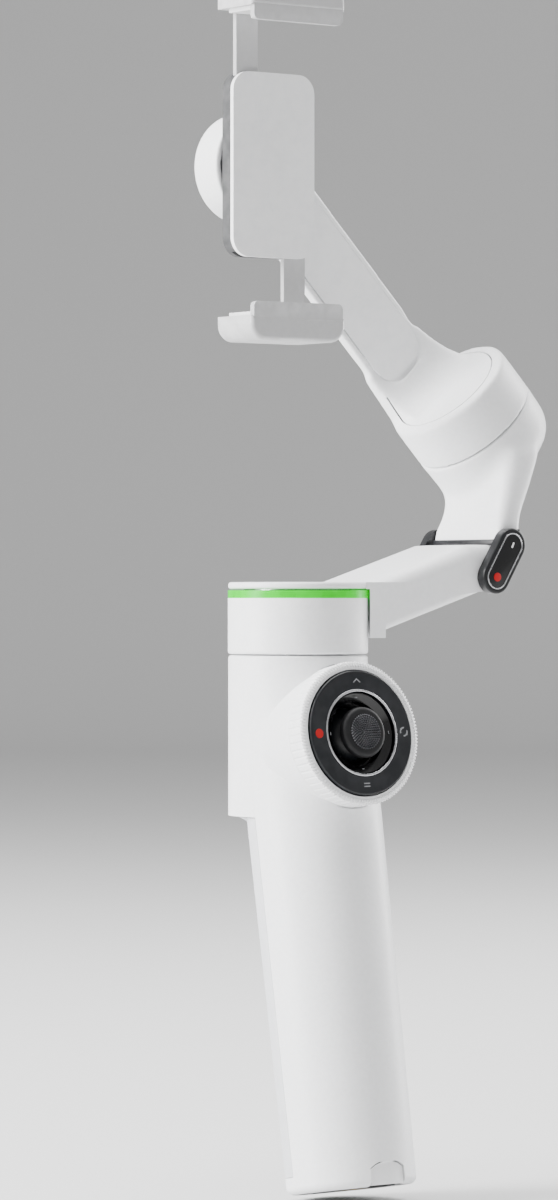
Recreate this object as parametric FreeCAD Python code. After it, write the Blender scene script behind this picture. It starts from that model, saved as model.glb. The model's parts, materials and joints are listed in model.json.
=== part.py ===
"""Folding phone gimbal stabilizer with a telescopic rod and a pull-out tripod.

World frame while modelling: +Z up along the pan axis, -Y towards the user, +X to the
user's right. Every node is shifted at the end, so that the origin is the mouth of the
tripod thread at the centre of the handle's foot.
"""
import FreeCAD, Part
import math
import os

V = FreeCAD.Vector
UP = V(0, 0, 1)
X_AXIS = V(1, 0, 0)
Y_AXIS = V(0, 1, 0)

# ---------------------------------------------------------------- driving dimensions (mm)
SEAM_Z = 135.8            # top of the handle
FOOT_Y = -23.3            # centre of the foot, in front of the pan axis
WALL = 2.2                # plastic wall of the handle
GAP = 0.3                 # clearance between moving neighbours
GRIP_R_FOOT = 16.6        # radius of the leaning grip at the foot
GRIP_R_TOP = 17.7         # radius of the leaning grip at the top
NECK_R = 18.0             # radius of the upright top of the handle
NOTCH_TOP_Z = 94.5        # where the finger notch starts at the back
NOTCH_R = 8.0             # radius of the concave finger notch
PAD_T = 1.2               # thickness of the rear grip pad
PAD_SIDE_Y = 2.2          # the rear pad covers the grip behind this plane

ROD_BOTTOM_Z = 97.0       # lower end of the retracted rod stages
ROD_TOP_Z = 135.3         # upper end of the retracted rod stages
ROD_STAGES = 5            # moving tubes between the guide tube and the neck
ROD_R_FIRST = 9.45        # outer radius of the widest moving tube
ROD_WALL = 0.65
ROD_STEP = ROD_WALL + GAP
GUIDE_R = ROD_R_FIRST + GAP + ROD_WALL
TRIGGER_PIVOT_Y, TRIGGER_PIVOT_Z = 12.9, 120.2
TRIGGER_Z0, TRIGGER_Z1 = 103.2, 121.8
PORT_ENDS_Z = (105.2, 110.8)          # centres of the charging port's round ends
POWER_ENDS_Z = (118.0, 124.0)         # centres of the power key's round ends
CELL_R = 8.9              # battery cell
CELL_Z0, CELL_Z1 = 10.4, 74.0
SLEEVE_R, SLEEVE_BORE = 10.2, 9.2     # sleeve that holds the cell and guides the tripod
SLEEVE_Z0, SLEEVE_Z1 = 9.4, 77.8
DECK_R, DECK_Z0, DECK_Z1 = 15.0, 83.5, 85.3   # deck that carries the sleeve inside the shell
INSERT_R = 4.6            # brass insert round the tripod thread

HOUSING_R = 18.1          # pan motor housing
HOUSING_Z = SEAM_Z + GAP
LIGHT_Z = 150.5           # lower edge of the light ring
CAP_Z = 152.8             # lower face of the pan cap
PAN_TOP_Z = 154.6         # top of the pan cap

ARM_HALF_Y = 13.8         # half width of the pan arm and the upper arm
FOLD_X, FOLD_Z = 52.3, 156.0          # fold hinge axis, along Y
PLATE_TOP_X, PLATE_TOP_Z = 57.5, 164.4  # upper end of the hinge plates
PLATE_R = 4.4
HINGE_PLATE_T = 2.9

TILT_ELEVATION = 46.0     # tilt axis above the horizontal, pointing up and to -X
DRUM_X, DRUM_Y, DRUM_Z = 62.3, 6.0, 196.9
DRUM_R = 17.5
DRUM_BACK = 14.5          # depth of the fixed half of the tilt motor
DRUM_FRONT = 13.0         # depth of the turning half
DRUM_WALL = 2.2
PLATE_Y0, PLATE_Y1 = 16.0, 22.5       # front and back of the tilt arm's plate
PLATE_HALF = 10.0         # half width of the tilt arm's plate

CLAMP_Z = 263.0           # centre of the phone clamp, and height of the roll axis
PHONE_Y0, PHONE_Y1 = 2.0, 10.2        # space for the phone
JAW_GAP = 77.6            # distance between the jaw pads at rest
JAW_HALF_X = 15.0
ROLL_R = 14.5             # roll motor housing
CLAMP_HALF_X, CLAMP_HALF_Z = 13.0, 24.0
MOUNT_FACE = 15.5         # front of the magnetic mount, behind the clamp's back
RACK_Y0, RACK_Y1 = 12.0, 13.4         # jaw stems, racks and pinion, behind the phone
STEM_IN, STEM_OUT = 4.2, 11.0         # sides of a jaw stem, from the clamp's centre line
MODULE = 0.6              # of the racks and the pinion
PINION_TEETH = 12
JAW_DEPTH = 7.4           # jaw's far face from the phone's edge
PAD_SEAT = 1.0            # jaw pad between the phone and the jaw
CHANNEL_HALF_Z = 20.5     # half length of the space for racks and pinion

DISC_Z = 114.0            # control disc centre along the grip axis
DISC_FACE = 23.75         # control disc face, in front of the grip axis
DISC_R = 16.0
WHEEL_R = 18.3
DISH_R = 10.9
CONTROL_R = 14.7          # hub that the dial wheel turns on
STICK_R = 6.5
STICK_PIVOT = 14.4        # crossed pivots of the stick, in front of the grip axis
BASE_FACE = 18.6          # front of the base that carries the controls
SCREW_PITCH_R = 12.0      # control screws lie on this circle
WHEEL_BACK, WHEEL_FRONT = 16.9, 20.8
RIM_FRONT = 23.0          # knurled rim of the wheel, round the button disc
DISC_EDGE_R = 0.5
WHEEL_GROOVES = 60

THREAD_R = 2.55           # core radius of the 1/4-20 thread
THREAD_LENGTH = 9.0
LEG_TOP_Z = 78.0
LEG_R0, LEG_R1 = 10.8, 13.9
LEG_HALF_ANGLE = 57.0     # each leg covers twice this angle round the battery
KNUCKLE_DROP = 3.0        # leg pin below the legs' upper ends

nodes = {}

# ---------------------------------------------------------------- local frames
LEAN = math.atan2(-FOOT_Y, SEAM_Z)
GRIP_DIR = V(0, math.sin(LEAN), math.cos(LEAN))
PANEL_DIR = V(0, -math.cos(LEAN), math.sin(LEAN))
TILT_RAD = math.radians(TILT_ELEVATION)
TILT_DIR = V(-math.cos(TILT_RAD), 0, math.sin(TILT_RAD))
DRUM = V(DRUM_X, DRUM_Y, DRUM_Z)


def frame(origin, x_dir, z_dir):
    """Placement whose local X and Z axes point along x_dir and z_dir."""
    turn = FreeCAD.Rotation(x_dir, z_dir.cross(x_dir), z_dir, "ZXY")
    return FreeCAD.Placement(origin, turn)


GRIP = frame(V(0, FOOT_Y, 0), X_AXIS, GRIP_DIR)
PANEL_AT = GRIP.multVec(V(0, 0, DISC_Z))
PANEL = frame(PANEL_AT, X_AXIS, PANEL_DIR)     # local z = distance in front of the grip axis
TILT = frame(DRUM, V(0, -1, 0), TILT_DIR)      # local x = -Y, local y = up and to the right
ROLL = frame(V(0, 0, CLAMP_Z), X_AXIS, V(0, -1, 0))   # local y = up, local z = towards the user
WORLD = FreeCAD.Placement()


# ---------------------------------------------------------------- small helpers
def put(shape, place):
    moved = shape.copy()
    moved.Placement = place.multiply(moved.Placement)
    return moved


def cyl(r, z0, z1, x=0.0, y=0.0, place=WORLD):
    return put(Part.makeCylinder(r, z1 - z0, V(x, y, z0)), place)


def tube(r_out, r_in, z0, z1, x=0.0, y=0.0, place=WORLD):
    """Ring between two radii; the bore is cut right through."""
    outer = Part.makeCylinder(r_out, z1 - z0, V(x, y, z0))
    bore = Part.makeCylinder(r_in, z1 - z0 + 2, V(x, y, z0 - 1))
    return put(outer.cut(bore), place)


def box(x0, x1, y0, y1, z0, z1, place=WORLD):
    return put(Part.makeBox(x1 - x0, y1 - y0, z1 - z0, V(x0, y0, z0)), place)


def slot_x(r, x0, x1, ends_z):
    """Round-ended bar along X; its rounded ends are centred at two heights."""
    ends = [Part.makeCylinder(r, x1 - x0, V(x0, 0, z), X_AXIS) for z in ends_z]
    return box(x0, x1, -r, r, *ends_z).fuse(group(ends))


def turned(angle):
    """Placement that turns about local Z through the origin, in degrees."""
    return FreeCAD.Placement(V(0, 0, 0), FreeCAD.Rotation(UP, angle))


def join(*shapes):
    result = shapes[0]
    for shape in shapes[1:]:
        result = result.fuse(shape)
    return result.removeSplitter()


def group(shapes):
    return Part.makeCompound(shapes)


def outline(points):
    return Part.Face(Part.makePolygon([V(*p) for p in points + points[:1]]))


def plate_xz(points, y0, y1):
    """Flat shape in the XZ plane, thick from y0 to y1."""
    face = outline([(x, y0, z) for x, z in points])
    return face.extrude(V(0, y1 - y0, 0))


def stadium(a, b, r, y0, y1):
    """Round-ended plate in the XZ plane between the points a and b."""
    ax, az = a
    bx, bz = b
    length = math.hypot(bx - ax, bz - az)
    nx, nz = -(bz - az) / length * r, (bx - ax) / length * r
    corners = [(ax + nx, az + nz), (bx + nx, bz + nz), (bx - nx, bz - nz), (ax - nx, az - nz)]
    bar = plate_xz(corners, y0, y1)
    ends = [Part.makeCylinder(r, y1 - y0, V(x, y0, z), Y_AXIS) for x, z in (a, b)]
    return join(bar, *ends)


def rounded(shape, r, chosen):
    """Fillet the chosen edges; a smaller radius is tried where the first doesn't fit."""
    edges = [edge for edge in shape.Edges if chosen(edge)]
    for factor in (1.0, 0.7, 0.4):
        try:
            result = shape.makeFillet(r * factor, edges)
            if result.isValid() and result.Volume > 0:
                return result
        except Part.OCCError:
            continue
    return shape


def is_circle(edge, r):
    curve = edge.Curve
    return curve.TypeId == "Part::GeomCircle" and abs(curve.Radius - r) < 0.02


def along(edge, direction):
    """True for a straight edge that runs along the direction."""
    if edge.Curve.TypeId not in ("Part::GeomLine", "Part::GeomLineSegment"):
        return False
    run = edge.Vertexes[-1].Point.sub(edge.Vertexes[0].Point)
    return run.Length > 0.5 and abs(abs(run.normalize().dot(direction)) - 1) < 1e-3


def screw(x, y, z_head, length, r, place):
    """Small pan-head screw that points along local -z, with a cross recess."""
    head = cyl(r * 1.8, z_head, z_head + r, x, y)
    shank = cyl(r, z_head - length, z_head + r / 2, x, y)
    slots = [box(x - a, x + a, y - b, y + b, z_head + r * 0.5, z_head + r * 1.1)
             for a, b in ((r * 1.1, r * 0.25), (r * 0.25, r * 1.1))]
    body = join(head, shank)
    for slot in slots:
        body = body.cut(slot)
    return put(body, place)


# ---------------------------------------------------------------- handle
def grip_solid(inset, z0=0.0):
    """Leaning conical grip, made smaller all round by inset."""
    length = SEAM_Z / math.cos(LEAN) + 4
    r0 = GRIP_R_FOOT - inset
    r1 = GRIP_R_TOP - inset
    cone = Part.makeCone(r0, r1, length - z0, V(0, 0, z0))
    cone = put(cone, GRIP)
    return cone.cut(box(-40, 40, -60, 60, SEAM_Z - inset, SEAM_Z + 30))


def neck_solid(inset):
    """Upright top of the handle with the concave finger notch round its lower end."""
    r = NECK_R - inset
    low_z = NOTCH_TOP_Z - NOTCH_R
    reach = NOTCH_R + inset
    middle = math.radians(135)
    start = V(NECK_R - reach, 0, low_z)
    mid = V(NECK_R + math.cos(middle) * reach, 0, low_z + math.sin(middle) * reach)
    top = V(r, 0, low_z + math.sqrt(reach ** 2 - inset ** 2))
    edges = [
        Part.makeLine(V(0, 0, low_z), start),
        Part.Arc(start, mid, top).toShape(),
        Part.makeLine(top, V(r, 0, SEAM_Z - inset)),
        Part.makeLine(V(r, 0, SEAM_Z - inset), V(0, 0, SEAM_Z - inset)),
        Part.makeLine(V(0, 0, SEAM_Z - inset), V(0, 0, low_z)),
    ]
    return Part.Face(Part.Wire(edges)).revolve(V(0, 0, 0), UP, 360)


def handle_solid(inset):
    return grip_solid(inset).fuse(neck_solid(inset))


def pad_region(grow):
    """Space at the back of the grip, from above the foot to the notch, that the pad fills."""
    low = box(-40, 40, PAD_SIDE_Y - grow, 40, 4.5 - grow, 110, GRIP)
    return low.common(box(-40, 40, -60, 60, -10, NOTCH_TOP_Z - 0.3 + grow))


def make_handle():
    outer = rounded(handle_solid(0), 2.0, lambda e: is_circle(e, GRIP_R_FOOT))
    outer = rounded(outer, 0.8, lambda e: is_circle(e, NECK_R) and e.BoundBox.ZMin > SEAM_Z - 0.1)
    boss = rounded(cyl(WHEEL_R - 0.6, 4, 16.6, place=PANEL), 0.6,
                   lambda e: is_circle(e, WHEEL_R - 0.6))
    pad_skin = handle_solid(PAD_T)
    shell = outer.fuse(boss)
    shell = shell.cut(handle_solid(WALL))
    mouth = cyl(GRIP_R_FOOT - WALL, -1, WALL + 1, place=GRIP)
    shell = shell.cut(mouth)
    shell = shell.cut(cyl(CONTROL_R + 0.02, 9.5, 30, place=PANEL))
    shell = shell.cut(cyl(WHEEL_R + 0.35, 16.6, 30, place=PANEL))
    shell = shell.cut(cyl(GUIDE_R + 0.02, SEAM_Z - 8, SEAM_Z + 2))
    shell = shell.cut(outer.cut(pad_skin).common(pad_region(0.12)))
    for opening in (thumb_notch(0), trigger_slot(), port_hole(), power_hole()):
        shell = shell.cut(opening)
    parts = sorted(shell.Solids, key=lambda s: s.Volume)
    nodes["handle_shell"] = parts[-1]
    pad = outer.cut(handle_solid(PAD_T - 0.05)).common(pad_region(0))
    nodes["rear_grip_pad"] = sorted(pad.Solids, key=lambda s: s.Volume)[-1]


def thumb_notch(shrink):
    """Arched notch in the front of the foot that shows the tripod's pull tab."""
    half = 5.3 - shrink
    arch = Part.makeCylinder(half * 1.6, 12, V(0, -12, -0.9 * half + 2.8 - shrink), V(0, -1, 0))
    sides = Part.makeBox(2 * half, 12, 9, V(-half, -24, -3))
    return put(arch.common(sides), GRIP)


def trigger_slot():
    return box(-6.2, 6.2, 10, 22, 102.2, 122.5)


def port_hole():
    return slot_x(1.55, 10, 22, PORT_ENDS_Z)


def power_hole():
    return slot_x(2.2, 10, 22, POWER_ENDS_Z)


def make_battery():
    cell = rounded(cyl(CELL_R, CELL_Z0, CELL_Z1, place=GRIP), 0.8, lambda e: is_circle(e, CELL_R))
    nodes["battery_cell"] = join(cell, cyl(3.0, CELL_Z1 - 0.5, CELL_Z1 + 2.6, place=GRIP))
    nodes["battery_sleeve"] = join(
        tube(SLEEVE_R, SLEEVE_BORE, SLEEVE_Z0 + 0.8, SLEEVE_Z1 - 0.8, place=GRIP),
        cyl(SLEEVE_R, SLEEVE_Z0, CELL_Z0, place=GRIP),
        cyl(SLEEVE_R, SLEEVE_Z1 - 1.2, SLEEVE_Z1, place=GRIP),
        cyl(6.0, SLEEVE_Z1, DECK_Z0 + 0.1, place=GRIP),
        cyl(DECK_R, DECK_Z0, DECK_Z1, place=GRIP))


def make_foot():
    plug = rounded(cyl(SLEEVE_R, 0, SLEEVE_Z0, place=GRIP), 0.5, lambda e: is_circle(e, SLEEVE_R))
    nodes["foot_plug"] = plug.cut(cyl(INSERT_R, -1, THREAD_LENGTH, place=GRIP))
    insert = cyl(INSERT_R, 0, THREAD_LENGTH, place=GRIP)
    nodes["thread_insert"] = insert.cut(cyl(THREAD_R, -1, THREAD_LENGTH + 1, place=GRIP))


def make_electronics():
    board = box(-11, 11, -17, 3.5, 8.4, 9.6, PANEL)
    chips = [box(x, x + w, y, y + h, 7.5, 8.5, PANEL)
             for x, y, w, h in ((-9, -15, 7, 7), (4, -8, 5, 4), (1, -15, 8, 4))]
    nodes["main_circuit_board"] = join(board, *chips)
    shell = slot_x(1.35, 12.0, 17.6, PORT_ENDS_Z).removeSplitter()
    cavity = slot_x(1.05, 12.6, 18.0, PORT_ENDS_Z)
    tongue = box(12.3, 17.0, -0.35, 0.35, PORT_ENDS_Z[0] + 0.4, PORT_ENDS_Z[1] - 0.4)
    flange = box(14.4, 15.5, -3.0, 3.0, PORT_ENDS_Z[0] - 2.2, PORT_ENDS_Z[1] + 2.2)
    nodes["usb_c_port"] = join(shell.fuse(flange).cut(cavity), tongue)


# ---------------------------------------------------------------- controls
def make_controls():
    make_control_base()
    make_dial_wheel()
    make_button_disc()
    make_stick()


def ring_places(r, count, start=0.0):
    """Evenly spaced points on a circle, the first at the start angle in degrees."""
    angles = [math.radians(start + 360.0 * i / count) for i in range(count)]
    return [(r * math.cos(a), r * math.sin(a)) for a in angles]


def make_control_base():
    head_seat, shank_r, shank_end = BASE_FACE - 0.5, 0.7, BASE_FACE - 5.5
    base = join(cyl(CONTROL_R, 9.6, 17.0, place=PANEL), cyl(13.6, 17.0, BASE_FACE, place=PANEL))
    base = base.cut(cyl(STICK_R + 1.6, 10.8, 30, place=PANEL))
    places = ring_places(SCREW_PITCH_R, 4, 45)
    seats = [join(cyl(1.26, head_seat, 19.5, x, y, PANEL),
                  cyl(shank_r, shank_end, head_seat + 0.2, x, y, PANEL)) for x, y in places]
    base = base.cut(group(seats))
    for s in (1, -1):
        base = base.cut(put(Part.makeCylinder(0.78, 2.6, V(s * 6.3, 0, STICK_PIVOT), V(s, 0, 0)), PANEL))
    nodes["control_base"] = base
    nodes["control_screws"] = group([screw(x, y, head_seat, 5, shank_r, PANEL) for x, y in places])


def make_dial_wheel():
    hub = tube(WHEEL_R, CONTROL_R + 0.25, WHEEL_BACK, WHEEL_FRONT, place=PANEL)
    wheel = join(hub, tube(WHEEL_R, DISC_R + 0.35, WHEEL_BACK + 1, RIM_FRONT, place=PANEL))
    wheel = rounded(wheel, 0.8, lambda e: is_circle(e, WHEEL_R))
    grooves = [cyl(0.38, WHEEL_BACK - 1, RIM_FRONT + 1, x, y, PANEL)
               for x, y in ring_places(WHEEL_R + 0.12, WHEEL_GROOVES)]
    nodes["dial_wheel"] = wheel.cut(group(grooves))


def make_button_disc():
    disc = cyl(DISC_R, 21.3, DISC_FACE, place=PANEL)
    front_z = DISC_FACE - 0.75
    disc = rounded(disc, DISC_EDGE_R, lambda e: is_circle(e, DISC_R)
                   and e.CenterOfMass.sub(PANEL_AT).dot(PANEL_DIR) > front_z)
    skirt = tube(12.9, 11.6, 19.6, 21.5, place=PANEL)
    ring_seat = cyl(DISH_R + 0.3, 18, 30, place=PANEL)
    nodes["button_disc"] = join(disc, skirt).cut(ring_seat)
    dish = tube(DISH_R - 0.55, STICK_R + 1.8, 18.6, DISC_FACE - 0.9, place=PANEL)
    hollow = put(Part.makeCone(STICK_R + 1.8, DISH_R - 0.6, 1.2, V(0, 0, DISC_FACE - 2.0)), PANEL)
    nodes["stick_dish"] = dish.cut(hollow)


def make_stick():
    """Stick on crossed pivots: the yoke tips it up and down, the cross pin left and right."""
    cap_back, cap_front, dimple_r, dimple_depth = 22.4, 25.4, 22.0, 0.5
    yoke = tube(6.6, 4.4, STICK_PIVOT - 1.1, STICK_PIVOT + 1.1, place=PANEL)
    trunnions = [put(Part.makeCylinder(0.7, 1.0, V(s * 6.4, 0, STICK_PIVOT), V(s, 0, 0)), PANEL)
                 for s in (1, -1)]
    pin_bore = put(Part.makeCylinder(0.75, 20, V(0, -10, STICK_PIVOT), Y_AXIS), PANEL)
    nodes["stick_yoke"] = join(yoke, *trunnions).cut(pin_bore)
    ball = put(Part.makeSphere(3.0, V(0, 0, STICK_PIVOT)), PANEL)
    stem = join(cyl(1.6, STICK_PIVOT + 1.5, cap_back, place=PANEL), ball)
    cross_pin = put(Part.makeCylinder(0.68, 12.4, V(0, -6.2, STICK_PIVOT), Y_AXIS), PANEL)
    nodes["stick_stem"] = stem.fuse(cross_pin)
    cap = rounded(cyl(STICK_R, cap_back, cap_front, place=PANEL), 1.1, lambda e: is_circle(e, STICK_R))
    dimple = put(Part.makeSphere(dimple_r, V(0, 0, cap_front + dimple_r - dimple_depth)), PANEL)
    nodes["stick_cap"] = cap.cut(dimple)


def make_trigger():
    body = cyl(NECK_R + 1.6, TRIGGER_Z0, TRIGGER_Z1).cut(cyl(NECK_R - 3.6, 100, 125))
    body = body.common(box(-5.8, 5.8, 12, 24, 100, 125))
    scoop = Part.makeCylinder(16, 30, V(-15, NECK_R + 16.6, 111), X_AXIS)
    trigger = body.cut(scoop)
    lug = box(-5.0, 5.0, 11.8, 15.0, 118.6, 121.6)
    pin = Part.makeCylinder(0.75, 14.4, V(-7.2, TRIGGER_PIVOT_Y, TRIGGER_PIVOT_Z), X_AXIS)
    bore = Part.makeCylinder(0.80, 20, V(-10, TRIGGER_PIVOT_Y, TRIGGER_PIVOT_Z), X_AXIS)
    nodes["trigger"] = join(trigger, lug).cut(bore)
    nodes["trigger_pin"] = pin
    ears = [box(s * 6.7 - 0.6, s * 6.7 + 0.6, 11.3, 13.8, 118.4, TRIGGER_Z1) for s in (1, -1)]
    nodes["trigger_bracket"] = join(box(-7.3, 7.3, 10.7, 11.4, 103, 123.4), *ears).cut(pin)


def make_power_button():
    nodes["power_button"] = slot_x(1.9, 15.4, 18.3, POWER_ENDS_Z).removeSplitter()


# ---------------------------------------------------------------- tripod
def leg(angle):
    """One curved leg of the tripod pack that lies round the battery."""
    ring = tube(LEG_R1, LEG_R0, 0.4, LEG_TOP_Z)
    half = math.radians(LEG_HALF_ANGLE)
    reach = 40.0
    wedge = outline([(0, 0, 0), (reach * math.cos(half), -reach * math.sin(half), 0),
                     (reach * 1.3, 0, 0), (reach * math.cos(half), reach * math.sin(half), 0)])
    wedge = wedge.extrude(V(0, 0, 100))
    piece = ring.common(wedge)
    knuckle_z = LEG_TOP_Z - KNUCKLE_DROP
    piece = piece.cut(Part.makeCylinder(0.85, 30, V((LEG_R0 + LEG_R1) / 2, -15, knuckle_z), Y_AXIS))
    slot = box(LEG_R0 - 1, LEG_R1 + 1, -1.6, 1.6, knuckle_z - 3, LEG_TOP_Z + 1)
    piece = piece.cut(slot)
    return put(piece, turned(angle))


def make_tripod():
    names = {"tripod_leg_front": -90, "tripod_leg_right": 30, "tripod_leg_left": 150}
    lugs = []
    pins = []
    feet = []
    middle = (LEG_R0 + LEG_R1) / 2
    knuckle_z = LEG_TOP_Z - KNUCKLE_DROP
    for name, angle in names.items():
        turn = turned(angle)
        piece = leg(angle)
        pins.append(put(put(Part.makeCylinder(0.8, 9, V(middle, -4.5, knuckle_z), Y_AXIS), turn), GRIP))
        lug = box(LEG_R0 + 0.2, LEG_R1 - 0.2, -1.4, 1.4, LEG_TOP_Z - 5, LEG_TOP_Z + 1.0)
        lug = lug.cut(Part.makeCylinder(0.82, 30, V(middle, -15, knuckle_z), Y_AXIS))
        lugs.append(put(lug, turn))
        foot = box(LEG_R0 + 0.4, LEG_R1 - 0.4, -4, 4, 0.0, 1.6)
        foot = foot.common(tube(LEG_R1 - 0.4, LEG_R0 + 0.4, -1, 3))
        feet.append(put(put(foot, turn), GRIP))
        piece = piece.cut(box(LEG_R0 + 0.4, LEG_R1 - 0.4, -4, 4, -1.0, 1.6, turn).common(
            tube(LEG_R1 - 0.4, LEG_R0 + 0.4, -2, 3)))
        nodes[name] = put(piece, GRIP)
    tab = thumb_notch(0.25).common(cyl(GRIP_R_FOOT - 0.5, 0.3, 20, place=GRIP)).cut(
        cyl(LEG_R1 - 0.2, -2, 20, place=GRIP))
    nodes["tripod_leg_front"] = nodes["tripod_leg_front"].fuse(tab).removeSplitter()
    ring = tube(LEG_R1, LEG_R0, LEG_TOP_Z + 0.9, LEG_TOP_Z + 3.4)
    nodes["tripod_carriage"] = put(join(ring, *lugs), GRIP)
    nodes["leg_pins"] = group(pins)
    nodes["leg_feet"] = group(feet)


# ---------------------------------------------------------------- telescopic rod and pan motor
def make_rod():
    guide_end = ROD_BOTTOM_Z - 1.2
    guide = tube(GUIDE_R, ROD_R_FIRST + GAP, guide_end, SEAM_Z - 0.4)
    nodes["rod_guide_tube"] = guide.fuse(cyl(GUIDE_R, guide_end - 1.0, guide_end))
    for index in range(ROD_STAGES):
        r = ROD_R_FIRST - index * ROD_STEP
        stage = tube(r, r - ROD_WALL, ROD_BOTTOM_Z + 0.2 * index, ROD_TOP_Z)
        nodes["rod_stage_%d" % (index + 1)] = stage
    r = ROD_R_FIRST - ROD_STAGES * ROD_STEP
    nodes["rod_neck"] = tube(r, r - 1.2, ROD_BOTTOM_Z + 1.2, HOUSING_Z)


def make_pan():
    cup = tube(HOUSING_R, HOUSING_R - 1.6, HOUSING_Z, LIGHT_Z)
    cup = join(cup, cyl(HOUSING_R, HOUSING_Z, HOUSING_Z + 1.8)).cut(cyl(3.4, HOUSING_Z - 1, HOUSING_Z + 3))
    nodes["pan_housing"] = rounded(cup, 0.7, lambda e: is_circle(e, HOUSING_R)
                                   and e.BoundBox.ZMax < HOUSING_Z + 0.1)
    nodes["light_ring"] = tube(HOUSING_R, HOUSING_R - 1.6, LIGHT_Z, CAP_Z - GAP)
    core = HOUSING_Z + 1.8
    coils = []
    poles = 12
    for i in range(poles):
        turn = turned(360.0 * i / poles)
        neck = box(4.8, 10.2, -0.8, 0.8, 141.0, 147.5)
        shoe = box(10.0, 11.6, -2.2, 2.2, 141.0, 147.5)
        coils.append(put(neck.fuse(shoe), turn))
    nodes["pan_stator"] = join(tube(6.4, 3.4, core, 148.0), *coils)
    bearing_z = 148.0
    nodes["pan_bearing"] = tube(6.4, 3.3, bearing_z, bearing_z + 2.6)
    bell = join(tube(13.9, 12.4, 140.0, 151.2), tube(13.9, 2.2, 151.2, CAP_Z))
    nodes["pan_rotor"] = join(bell, cyl(3.24, 144.0, CAP_Z)).cut(cyl(2.2, 143, 160))

    nodes["pan_cap"] = rounded(cyl(NECK_R, CAP_Z, PAN_TOP_Z), 0.8, lambda e: is_circle(e, NECK_R))
    profile = [(8.0, CAP_Z), (8.0, PAN_TOP_Z), (15.2, PAN_TOP_Z), (46.0, 164.3), (50.0, 164.5),
               (54.4, 164.5), (54.4, 159.6), (FOLD_X + 4.0, FOLD_Z), (54.4, 152.9), (50.6, 152.4),
               (18.0, 142.0), (18.0, 140.2), (10.0, 140.2)]
    beam = plate_xz(profile, -ARM_HALF_Y, ARM_HALF_Y)
    beam = rounded(beam, 4.2, top_side_edge)
    beam = rounded(beam, 2.0, bottom_side_edge)
    beam = beam.cut(cyl(HOUSING_R + 0.8, 130, CAP_Z))
    beam = beam.cut(cyl(NECK_R + 0.02, CAP_Z - 1, PAN_TOP_Z))
    lid = beam.common(slope_slab())
    beam = beam.cut(slope_slab(0.1))
    channel = plate_xz([(26, 148.2), (26, 155.2), (44, 160.6), (44, 154.6)], -9.5, 9.5)
    beam = beam.cut(channel)
    beam = beam.cut(Part.makeCylinder(2.0, 60, V(FOLD_X, -30, FOLD_Z), Y_AXIS))
    nodes["pan_arm"] = sorted(beam.Solids, key=lambda s: s.Volume)[-1]
    nodes["pan_arm_cover"] = sorted(lid.Solids, key=lambda s: s.Volume)[-1]
    nodes["hinge_pin"] = Part.makeCylinder(1.95, 2 * 16.2, V(FOLD_X, -16.2, FOLD_Z), Y_AXIS)


def top_side_edge(edge):
    mid = edge.CenterOfMass
    length = edge.Length
    return abs(abs(mid.y) - ARM_HALF_Y) < 0.01 and length > 3.5 and mid.z > PAN_TOP_Z + 0.5 and mid.x < 55 \
        and edge.BoundBox.XLength > 3


def bottom_side_edge(edge):
    mid = edge.CenterOfMass
    return abs(abs(mid.y) - ARM_HALF_Y) < 0.01 and edge.Length > 20 and mid.z < 150 \
        and edge.BoundBox.XLength > 20


def slope_slab(grow=0.0):
    """Slab along the sloping underside of the pan arm, where its cover lies."""
    return plate_xz([(24, 143.9 - 6), (24, 145.7 + grow), (46.5, 153.0 + grow), (46.5, 151.1 - 6)],
                    -11.5 - grow, 11.5 + grow)


# ---------------------------------------------------------------- fold hinge and upper arm
def tilt_point(t, p):
    """World X and Z of a point t along the tilt axis and p across it, up and to the right."""
    return (DRUM_X + TILT_DIR.x * t + TILT_DIR.z * p, DRUM_Z + TILT_DIR.z * t - TILT_DIR.x * p)


def make_upper_arm():
    lower = (54.9, 160.6)
    arm = plate_xz([lower, (54.9, 166.0), (58.3, 181.0), (60.5, 190.0), (71.5, 190.0), (68.0, 180.0),
                    (63.2, 169.0), (63.0, 164.2)], -ARM_HALF_Y, ARM_HALF_Y)
    arm = rounded(arm, 2.4, lambda e: arm_side_edge(e) and e.CenterOfMass.x > 63)
    arm = rounded(arm, 1.2, lambda e: arm_side_edge(e) and e.CenterOfMass.x < 60)
    drum = cyl(DRUM_R, -DRUM_BACK, -0.2, place=TILT)
    drum = rounded(drum, 6.5, lambda e: is_circle(e, DRUM_R)
                   and e.CenterOfMass.sub(DRUM).dot(TILT_DIR) < -5)
    body = join(drum, arm)
    front_cut = cyl(60, -0.2, 60, place=TILT)
    body = body.cut(front_cut)
    cavity = cyl(DRUM_R - DRUM_WALL, -11.5, 1, place=TILT)
    body = body.cut(cavity)
    body = body.cut(Part.makeCylinder(9.2, 60, V(FOLD_X, -30, FOLD_Z), Y_AXIS).common(
        box(40, 54.7, -30, 30, 140, 180)))
    nodes["upper_arm"] = sorted(body.Solids, key=lambda s: s.Volume)[-1]


def arm_side_edge(edge):
    """Long edge along either side of the upper arm."""
    return abs(abs(edge.CenterOfMass.y) - ARM_HALF_Y) < 0.01 and edge.BoundBox.ZLength > 3


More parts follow.
